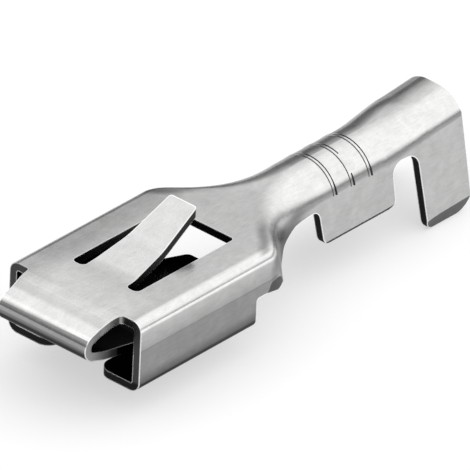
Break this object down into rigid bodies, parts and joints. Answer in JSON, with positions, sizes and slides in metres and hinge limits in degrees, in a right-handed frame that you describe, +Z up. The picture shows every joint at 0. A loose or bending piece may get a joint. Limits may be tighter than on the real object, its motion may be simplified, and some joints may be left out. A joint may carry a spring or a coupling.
{
  "type": "flat crimp terminal",
  "caption": "Receptacle terminal stamped and folded from one sheet: a flat tab socket with a locking lance, a folded contact tongue, and open wire and insulation barrels.",
  "frame": {"origin": "centre of the tab socket's mouth, on the middle plane of the tab that slides in", "axes": "+X from the mouth of the socket towards the wire, +Z up out of the flat plate, Y across the sheet"},
  "size_m": [0.0252, 0.0076, 0.0063],
  "materials": {
    "tinned_sheet": "bright tin plate over rolled brass sheet"
  },
  "bodies": {
    "root": {"terminal": "tinned_sheet"}
  },
  "joints": []
}
